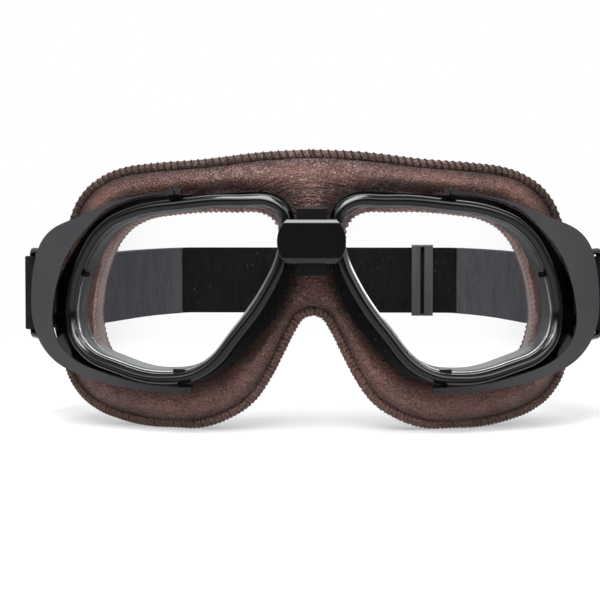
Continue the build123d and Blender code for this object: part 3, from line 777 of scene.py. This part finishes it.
def with_even_mesh(work, name, square):
    """The same closed shape with an even mesh of small squares."""
    data = bpy.data.meshes.new(name)
    work.to_mesh(data)
    work.free()
    holder = bpy.data.objects.new(name, data)
    bpy.context.collection.objects.link(holder)
    grid = holder.modifiers.new("grid", "REMESH")
    grid.mode = "VOXEL"
    grid.voxel_size = square
    bpy.context.view_layer.update()
    shown = holder.evaluated_get(bpy.context.evaluated_depsgraph_get())
    even = bpy.data.meshes.new_from_object(shown)
    bpy.data.objects.remove(holder)
    work = bmesh.new()
    work.from_mesh(even)
    bpy.data.meshes.remove(even)
    return work


def pad_layer(name, inset, thickness, square, smoothing):
    """One layer of the mask, still flat, with an even mesh and softened corners."""
    outlines = [resized(pad_outline, -inset)] + eye_openings
    work = with_even_mesh(sheet_of(name, outlines, thickness), name, square)
    for _ in range(smoothing):
        bmesh.ops.smooth_vert(work, verts=work.verts, factor=0.5,
                              use_axis_x=True, use_axis_y=True, use_axis_z=True)
    return work


def distance_to(outlines):
    """A function that gives how far a place is from the nearest of these closed outlines."""
    places = []
    for outline in outlines:
        for k, point in enumerate(outline):
            after = outline[(k + 1) % len(outline)]
            steps = max(1, int((after - point).length / OUTLINE_STEP))
            places += [point.lerp(after, n / steps) for n in range(steps)]
    tree = kdtree.KDTree(len(places))
    for k, place in enumerate(places):
        tree.insert((place.x, place.y, 0), k)
    tree.balance()
    return lambda x, z: tree.find((x, z, 0))[2]


def bent_pad(x, depth, radius=WRAP_RADIUS):
    """How far back a pad layer lies at a distance from the middle."""
    return WRAP_FRONT + depth + radius - math.sqrt(radius * radius - x * x)


def lump(v, seed, spacing, height):
    """The soft rise or dip of a stuffed layer at one of its points."""
    return noise.noise(Vector((v.co.x, v.co.z, seed)) / spacing) * height


def half_of(work, side):
    """A copy of one half of a mask layer, closed where it is cut at the nose."""
    part = work.copy()
    cut(part, (0, 0, 0), (side, 0, 0), "inner")
    return part


def hang_on_fold(piece):
    """Bakes the place of a piece of the mask into its mesh."""
    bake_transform(piece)


def bridge_creases(finish, where):
    """Small folds that arch over the bridge and fade away from it."""
    across = abs(finish.along("X", where))
    up = finish.along("Z", where) - CREASE_MIDDLE.y
    reach = (across * across + up * up) ** 0.5
    turn = up.maths("ARCTAN2", across)
    spread = finish.node("CombineXYZ", {}, {0: reach, 1: turn * (5 * MM)})
    lines = finish.noise(spread, 1.7 * MM, detail=3.0, roughness=0.6)
    line = 1 - finish.between(abs(lines - 0.5), 0.0, 0.12)
    return line * (1 - finish.between(reach, 16 * MM, 44 * MM))


def brown_leather(name, light, dark, grain_size, creased=False):
    """Pebbled grain and folds: painted highlight on the pebble tops, painted shade in pores and folds.
    """
    finish = Finish(name)
    where = finish.place()
    warp = finish.noise(where, 3 * MM)
    warps = finish.node("CombineXYZ", {}, {0: warp, 1: warp, 2: warp})
    warped = finish.node("VectorMath", {"operation": "MULTIPLY_ADD"},
                         {0: (LEATHER_WARP, LEATHER_WARP, LEATHER_WARP), 1: warps, 2: where})
    grain = {"Vector": warped, "Scale": 1 / grain_size}
    pebble = finish.node("TexVoronoi", {"feature": "SMOOTH_F1"}, {**grain, "Smoothness": 0.6})
    pores = finish.node("TexVoronoi", {"feature": "DISTANCE_TO_EDGE"}, grain)
    pore = 1 - finish.between(pores, 0.0, 0.18)
    peak = 1 - finish.between(pebble, 0.1, 0.5)
    cloud = finish.noise(where, 20 * MM, detail=3.0)
    speck = finish.noise(where, 0.6 * MM, detail=3.0)
    folds = finish.noise(finish.place((1.0, 1.0, 1.6)), 4.5 * MM, detail=4.0, roughness=0.6)
    fold = 1 - finish.between(abs(folds - 0.5), 0.0, 0.035)
    height = (1 - pebble) * 0.5 - pore * 0.35 + speck * 0.25 - fold * 0.6
    if creased:
        arch = bridge_creases(finish, where)
        fold = fold.maths("MAXIMUM", arch)
        height = height - 1.6 * arch
    tone = finish.blend(finish.between(cloud, 0.3, 0.7), dark, light)
    # Painted highlight: the tops of the pebbles are lightened.
    grain_highlighted = finish.blend(0.32 * peak, tone, GRAIN_HIGHLIGHT_TONE)
    # Painted shade: pores and folds, and the creases at the bridge, are darkened.
    crevice_shaded = finish.blend(0.4 * pore + 0.35 * fold, grain_highlighted, CREVICE_SHADE_TONE)
    # Painted shade: a share stored on the mesh darkens the leather beside the frames and the binding.
    painted_shade = finish.node("Attribute", {"attribute_name": "painted_shade"}, {}, "Fac")
    return finish.set(
        Base_Color=finish.blend(0.8 * painted_shade, crevice_shaded, FRAME_SHADE_TONE),
        Roughness=0.36 + 0.2 * pore - 0.1 * speck,
        Specular_IOR_Level=0.5,
        Normal=finish.bump(height, LEATHER_RELIEF),
    )


leather = brown_leather("grained_brown_leather", paint(121, 83, 73), paint(94, 63, 55), 1.0 * MM, True)
cover = pad_layer("cover", COVER_INSET, COVER_THICKNESS, COVER_SQUARE, COVER_SMOOTHING)
from_binding = distance_to([resized(pad_outline, -COVER_INSET)])
from_frames = distance_to(frame_outlines)
painted_shade = cover.verts.layers.float.new("painted_shade")
for v in cover.verts:
    front_share = 1 - min(max(v.co.y / COVER_THICKNESS, 0.0), 1.0)
    to_binding = from_binding(v.co.x, v.co.z)
    to_frame = from_frames(v.co.x, v.co.z)
    room_left = min(to_binding, to_frame)
    # Painted shade: a share that darkens the leather beside the eye frames and, a little less, beside
    # the binding.
    v[painted_shade] = max(math.exp(-(to_frame / SHADE_RUN) ** 2),
                    BINDING_SHADE * math.exp(-(BINDING_SHADE_SHORTER * to_binding / SHADE_RUN) ** 2))
    swell = CROWN * (math.exp(-room_left / CROWN_RUN) - CROWN_PROUD)
    spot = Vector((v.co.x, v.co.z)) - CREASE_MIDDLE
    reach = spot.length
    turn = math.atan2(spot.y, abs(spot.x))
    creases = 0.0
    for to_radian, length, seed, keenness, share in CREASE_FANS:
        ridge = noise.noise(Vector((turn * to_radian, reach / length, seed)))
        creases += (1 - abs(ridge)) ** keenness * share
    creases *= CREASE_DEPTH * math.exp(-((reach - CREASE_REACH) / CREASE_FADE) ** 2)
    lumps = lump(v, COVER_LUMP_SEED, COVER_LUMP_SPACING, COVER_LUMP_HEIGHT)
    swell += (creases + lumps) * min(1.0, room_left / CALM_EDGE)
    v.co.y = bent_pad(v.co.x, COVER_FRONT + v.co.y + swell * front_share)
for side_name, side in SIDES:
    data = finish_mesh("cover", half_of(cover, side), PAD_SMOOTH_DEG)
    piece = add_piece(side_name + "_leather_cover", data, None, leather)
    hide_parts("face_pad_cover", "face_pad_front_foam", "face_pad_middle_foam")
    hang_on_fold(piece)
cover.free()


# The edge of the mask is bound in the same leather and overlocked: a thread goes round and round the
# edge and leaves a small bead at each turn.
BINDING_THICKNESS = 3.3 * MM
BINDING_DEPTH = 18.2 * MM
BINDING_INSET = 1.75 * MM
BINDING_OFF_TABLE = 0.35 * MM
BINDING_SMOOTH_DEG = 70.0
BROW_PITCH = 2.6 * MM
CHEEK_PITCH = 1.5 * MM
CHEEK_STARTS = 9
STEPS_IN_TURN = 10
THREAD_THICKNESS = 0.62 * MM
THREAD_BITE = 0.30 * MM
CHEEK_THREAD_SHARE = 0.75
ROPE_DEPTH = 0.28 * MM
FINE_STEPS = 24


def stitch_thread(name, dark, light):
    finish = Finish(name)
    twist = finish.noise(finish.place(), 0.4 * MM)
    return finish.set(
        Base_Color=finish.blend(twist, dark, light),
        Roughness=0.75,
        Specular_IOR_Level=0.25,
        Normal=finish.bump(twist, 0.06 * MM),
    )


def half_edge(side):
    """The binding's middle line on one side, from the brow to the nose notch."""
    line = [Vector((side * p.x, p.y)) for p in resized(pad_outline, -BINDING_INSET)[:len(half)]]
    line[0].x = 0
    line[-1].x = 0
    lowest = BINDING_THICKNESS / 2 + BINDING_OFF_TABLE
    return [(p.x, bent_pad(p.x, BINDING_DEPTH), max(p.y, lowest)) for p in line]


def evenly(points, step):
    """Places at even steps along a smooth line through the points."""
    work = drawn("line", [points], {"resolution_u": FINE_STEPS}, closed=False)
    places = [v.co.copy() for v in work.verts]
    work.free()
    spaced = [places[0]]
    travelled = 0.0
    for before, after in zip(places, places[1:]):
        run = (after - before).length
        while run > 0 and travelled + run >= step:
            before = before.lerp(after, (step - travelled) / run)
            spaced.append(before)
            run = (after - before).length
            travelled = 0.0
        travelled += run
    return spaced + [places[-1]]


def square_to(spots, k):
    """The two directions square to a line of spots at one of them, the outward one first."""
    along = (spots[min(k + 1, len(spots) - 1)] - spots[max(k - 1, 0)]).normalized()
    out = along.cross(Vector((0, 1, 0))).normalized()
    return out, along.cross(out)


def overlock(name, spots, side_name, finish, thickness, spread):
    """Thread that goes round a line of spots once every few steps."""
    coil = []
    for k, spot in enumerate(spots):
        out, over = square_to(spots, k)
        angle = 2 * math.pi * k / STEPS_IN_TURN
        coil.append(spot + (out * math.cos(angle) + over * math.sin(angle)) * spread)
    work = tube("stitches", coil, thickness, roundness=1, closed=False,
                resolution_u=2, use_fill_caps=True)
    piece = add_piece(side_name + name, finish_mesh("stitches", work), None, finish)
    hang_on_fold(piece)
    return piece


def part_of_route(route, start, end, pitch):
    """The part of a route between two of its points, at the steps of a stitch."""
    whole = evenly(route, pitch / STEPS_IN_TURN)
    first = min(range(len(whole)), key=lambda k: (whole[k] - Vector(route[start])).length)
    last = min(range(len(whole)), key=lambda k: (whole[k] - Vector(route[end])).length)
    return whole[first:last + 1]


# The binding is the cover's leather painted darker: painted shade.
shaded_edge_leather = brown_leather("shaded_bound_edge_leather", paint(90, 65, 57), paint(62, 44, 38), 0.9 * MM)
brow_thread = stitch_thread("brow_overlock_thread", paint(26, 17, 15), paint(58, 42, 37))
cheek_thread = stitch_thread("cheek_overlock_thread", paint(70, 48, 41), paint(122, 92, 80))
for side_name, side in SIDES:
    route = half_edge(side)
    spots = evenly(route, BROW_PITCH / STEPS_IN_TURN)
    tree = kdtree.KDTree(len(spots))
    for k, spot in enumerate(spots):
        tree.insert(spot, k)
    tree.balance()
    work = tube("binding", spots, BINDING_THICKNESS, roundness=4, closed=False,
                resolution_u=1, use_fill_caps=True)
    for v in work.verts:
        centre, k, _ = tree.find(v.co)
        arm = v.co - centre
        out, over = square_to(spots, k)
        angle = math.atan2(arm.dot(over), arm.dot(out))
        twist = math.cos(2 * math.pi * k / STEPS_IN_TURN - angle)
        v.co = centre + arm * (1 - ROPE_DEPTH / (BINDING_THICKNESS / 2) * max(twist, 0.0) ** 3)
    data = finish_mesh("binding", work, BINDING_SMOOTH_DEG)
    piece = add_piece(side_name + "_bound_edge", data, None, shaded_edge_leather)
    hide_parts("face_pad_binding")
    hang_on_fold(piece)
    spread = BINDING_THICKNESS / 2 + THREAD_THICKNESS / 2 - THREAD_BITE
    brow = part_of_route(route, 0, CHEEK_STARTS, BROW_PITCH)
    brow_piece = overlock("_brow_stitches", brow, side_name, brow_thread,
                          THREAD_THICKNESS, spread)
    cheek = part_of_route(route, CHEEK_STARTS, len(route) - 1, CHEEK_PITCH)
    cheek_piece = overlock("_cheek_stitches", cheek, side_name, cheek_thread,
                           CHEEK_THREAD_SHARE * THREAD_THICKNESS, spread)


# Behind the binding the mask is thick foam in a soft brushed lining, rounded where it meets the face
# and flat under the cheeks where it stands.
REAR_START = 19.0 * MM
REAR_THICKNESS = 15.0 * MM
REAR_RADIUS = 150 * MM
REAR_SQUARE = 1.6 * MM
REAR_SMOOTHING = 6
REAR_INSET = 1.0 * MM
REAR_CROWN = 4.5 * MM
REAR_CROWN_RUN = 6 * MM
REAR_LUMP_HEIGHT = 0.8 * MM
REAR_LUMP_SPACING = 16 * MM
REAR_LUMP_SEED = 2.7 * MM


def brushed_lining():
    finish = Finish("brushed_lining")
    where = finish.place()
    nap = finish.noise(where, 0.5 * MM, detail=4.0, roughness=0.7)
    cloud = finish.noise(where, 9 * MM, detail=3.0)
    shade = finish.between(cloud + nap * 0.4, 0.4, 0.9)
    return finish.set(
        Base_Color=finish.blend(shade, paint(74, 62, 58), paint(104, 90, 84)),
        Roughness=0.95,
        Sheen_Weight=0.4,
        Sheen_Roughness=0.5,
        Specular_IOR_Level=0.15,
        Normal=finish.bump(nap, 0.3 * MM),
    )


lining = brushed_lining()
rear = pad_layer("rear_pad", REAR_INSET, REAR_THICKNESS, REAR_SQUARE, REAR_SMOOTHING)
from_edge = distance_to([resized(pad_outline, -REAR_INSET)] + eye_openings)
for v in rear.verts:
    rear_share = min(max(v.co.y / REAR_THICKNESS, 0.0), 1.0)
    crown = REAR_CROWN * math.exp(-from_edge(v.co.x, v.co.z) / REAR_CROWN_RUN) * rear_share ** 2
    lumps = lump(v, REAR_LUMP_SEED, REAR_LUMP_SPACING, REAR_LUMP_HEIGHT)
    radius = WRAP_RADIUS + (REAR_RADIUS - WRAP_RADIUS) * rear_share
    v.co.y = bent_pad(v.co.x, REAR_START + v.co.y - crown + lumps * rear_share, radius)
    v.co.z = max(v.co.z, 0.0)
for side_name, side in SIDES:
    data = finish_mesh("rear_pad", half_of(rear, side), PAD_SMOOTH_DEG)
    piece = add_piece(side_name + "_rear_pad", data, None, lining)
    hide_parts("face_pad_lining", "face_pad_rear_foam")
    hang_on_fold(piece)
rear.free()


# The wall of each eye opening is lined with thin suede, sewn to the leather in front and to the
# brushed lining behind. Its stitched front edge shows through the lens.
SUEDE_WALL = 1.2 * MM
SUEDE_DEPTH = 22.0 * MM
SUEDE_EDGE = 0.3 * MM
SUEDE_PROUD = 0.2 * MM
SUEDE_SMOOTH_DEG = 50.0
REAR_WELT_DEPTH = COVER_FRONT + SUEDE_DEPTH - 0.6 * MM
WELT_THICKNESS = 1.1 * MM
WELT_PITCH = 1.9 * MM
WELT_THREAD = 0.45 * MM
WELT_SPREAD = WELT_THICKNESS / 2 + WELT_THREAD / 4


def suede():
    finish = Finish("suede_wall")
    nap = finish.noise(finish.place(), 0.6 * MM, detail=4.0, roughness=0.65)
    streak = finish.noise(finish.place((1.0, 1.0, 0.2)), 2.5 * MM)
    shade = finish.between(streak * 0.6 + nap * 0.4, 0.3, 0.7)
    return finish.set(
        Base_Color=finish.blend(shade, paint(128, 102, 98), paint(176, 150, 146)),
        Roughness=0.9,
        Sheen_Weight=0.3,
        Sheen_Roughness=0.5,
        Specular_IOR_Level=0.2,
        Normal=finish.bump(nap, 0.2 * MM),
    )


wall_suede = suede()
suede_thread = stitch_thread("suede_thread", paint(112, 88, 84), paint(156, 128, 123))
for (side_name, side), opening in zip(SIDES, eye_openings):
    work = sheet_of("eye_wall", [resized(opening, SUEDE_WALL), opening], SUEDE_DEPTH, SUEDE_EDGE)
    cut_in_strips(work, side * EYE_FROM_MIDDLE, side * ROLL_STEP, int(EYE_WIDTH / ROLL_STEP))
    for v in work.verts:
        v.co.y = bent_pad(v.co.x, COVER_FRONT - SUEDE_PROUD + v.co.y)
    data = finish_mesh("eye_wall", work, SUEDE_SMOOTH_DEG)
    piece = add_piece(side_name + "_suede_wall", data, None, wall_suede)
    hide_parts(side_name + "_eye_lining")
    hang_on_fold(piece)
    for end_name, depth in (("_front", COVER_FRONT), ("_rear", REAR_WELT_DEPTH)):
        ring = [Vector((p.x, bent_pad(p.x, depth), p.y)) for p in opening]
        work = tube("welt", ring, WELT_THICKNESS, roundness=2)
        data = finish_mesh("welt", work, BINDING_SMOOTH_DEG)
        welt = add_piece(side_name + end_name + "_welt", data, None, wall_suede)
        hang_on_fold(welt)
        spots = evenly(ring + ring[:1], WELT_PITCH / STEPS_IN_TURN)
        stitches = overlock(end_name + "_welt_stitches", spots, side_name, suede_thread,
                            WELT_THREAD, WELT_SPREAD)


# The strap is elastic webbing. Each end goes round its ring and back to the join, so it is doubled and
# stiffer at the sides, and a single band goes round the back of the head. Its route is seen from above.
STRAP_WIDTH = 26.4 * MM
STRAP_MIDDLE = 45.6 * MM
STRAP_THICKNESS = 1.5 * MM
STRAP_EDGE = 0.35 * MM
STRAP_SMOOTH_DEG = 40.0
BAR = Vector((101.99, 56.13)) * MM
TEMPLE = Vector((82.5, 82.0)) * MM
HIP = Vector((68.5, 128.0)) * MM
BEFORE_TEMPLE = BAR.lerp(TEMPLE, 0.72)
PAST_TEMPLE = TEMPLE + Vector((-1.5, 6)) * MM
BEFORE_HIP = HIP.lerp(TEMPLE, 0.45)
AT_HIP = HIP + Vector((0.8, -4)) * MM
JOIN = Vector((60.5, 141.05)) * MM
WEBBING_END = Vector((56.5, 146.3)) * MM
CORNER_END = Vector((46.6, 150.0)) * MM
CORNER = CORNER_END.lerp(WEBBING_END, 0.5) + Vector((1.2, 1.3)) * MM
BACK_HALF = 27.0 * MM
BACK_DEPTH = 150 * MM
LOOP_RADIUS = 2.05 * MM
LOOP_HALF_GAP = 0.8 * MM
LOOP_RUN = 13 * MM
LOOP_OVERLAP = 1.0 * MM
LOOP_ANGLES_DEG = range(60, 301, 30)


def webbing(name, light, dark):
    """Ribbed elastic with a little lint on it."""
    finish = Finish(name)
    weave = finish.noise(finish.place((1.0, 1.0, 0.08)), 0.45 * MM, detail=3.0, roughness=0.6)
    knots = finish.noise(finish.place((0.6, 0.6, 1.0)), 0.35 * MM)
    fluff = finish.noise(finish.place((1.0, 1.0, 0.3)), 5 * MM, detail=4.0)
    shade = finish.between(weave * 0.45 + knots * 0.3 + fluff * 0.25, 0.34, 0.66)
    lint = finish.between(finish.noise(finish.place(), 0.8 * MM, detail=1.0), 0.74, 0.78)
    return finish.set(
        Base_Color=finish.blend(lint * 0.5, finish.blend(shade, dark, light), paint(120, 120, 122)),
        Roughness=0.85,
        Specular_IOR_Level=0.08,
        Normal=finish.bump(weave * 0.6 + knots * 0.4, 0.14 * MM),
    )


def strap_place(point, side):
    """A point of the strap's route as a place in the scene."""
    return (side * point.x, WRAP_FRONT + point.y, STRAP_MIDDLE)


def band(name, route, side, thickness, body, finish):
    """Webbing on edge along a route, with its four corners taken off."""
    section = bpy.data.curves.new(name + "_section", "CURVE")
    section.dimensions = "2D"
    w, t, e = STRAP_WIDTH / 2, thickness / 2, STRAP_EDGE
    corners = [(t - e, -w), (t, e - w), (t, w - e), (t - e, w),
               (e - t, w), (-t, w - e), (-t, e - w), (e - t, -w)]
    line = section.splines.new("POLY")
    line.points.add(len(corners) - 1)
    for knot, (x, y) in zip(line.points, corners):
        knot.co = (x, y, 0, 1)
    line.use_cyclic_u = True
    holder = bpy.data.objects.new(name + "_section", section)
    bpy.context.collection.objects.link(holder)
    settings = {"bevel_mode": "OBJECT", "bevel_object": holder, "use_fill_caps": True,
                "twist_mode": "Z_UP"}
    work = drawn(name, [[strap_place(p, side) for p in route]], settings, closed=False)
    bpy.data.objects.remove(holder)
    bpy.data.curves.remove(section)
    piece = add_piece(name, finish_mesh(name, work, STRAP_SMOOTH_DEG), body, finish)
    return piece


dark_webbing = webbing("single_webbing", paint(20, 19, 20), paint(2, 2, 2))
side_webbing = webbing("doubled_webbing", paint(74, 74, 79), paint(54, 54, 58))
# The webbing round the ring is the doubled webbing painted near black: painted shade.
shaded_loop_webbing = webbing("ring_loop_webbing_shaded", paint(30, 30, 32), paint(12, 12, 13))
inward = (TEMPLE - BAR).normalized()
beside = Vector((-inward.y, inward.x)) * LOOP_HALF_GAP
past_loop = BAR + inward * LOOP_RUN
loop_route = [past_loop + beside]
for angle_deg in LOOP_ANGLES_DEG:
    loop_route.append(BAR + Matrix.Rotation(math.radians(angle_deg), 2) @ inward * LOOP_RADIUS)
loop_route.append(past_loop - beside)
side_route = [past_loop - inward * LOOP_OVERLAP, BEFORE_TEMPLE, PAST_TEMPLE, BEFORE_HIP, AT_HIP,
              JOIN, WEBBING_END]
for side_name, side in SIDES:
    loop_piece = band(side_name + "_strap_loop", loop_route, side, STRAP_THICKNESS, None,
                      shaded_loop_webbing)
    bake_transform(loop_piece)
    side_piece = band(side_name + "_doubled_strap", side_route, side, 2 * STRAP_THICKNESS, None,
                      side_webbing)
    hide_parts(side_name + "_strap_end")
    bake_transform(side_piece)

back_route = [JOIN, WEBBING_END, CORNER, CORNER_END, Vector((BACK_HALF, BACK_DEPTH))]
back_route += [Vector((-p.x, p.y)) for p in reversed(back_route)]
back_piece = band("back_band", back_route, 1, STRAP_THICKNESS, "bridge", dark_webbing)
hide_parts("back_strap")


# The adjuster is a sleeve with two front bars, moulded in dark grey plastic. It slides along the back
# of the strap and stays where it is put.
def highlight_streaked_plastic():
    finish = Finish("slider_plastic")
    streak = finish.noise(finish.place((1.0, 1.0, 0.1)), 1.2 * MM, detail=3.0)
    return finish.set(
        # The paler upright streaks in its colour are painted highlights.
        Base_Color=finish.blend(streak, paint(36, 36, 38), paint(66, 66, 68)),
        Roughness=0.4 + 0.1 * streak,
        Normal=finish.bump(streak, 0.02 * MM),
    )


dress("strap_slider", highlight_streaked_plastic())
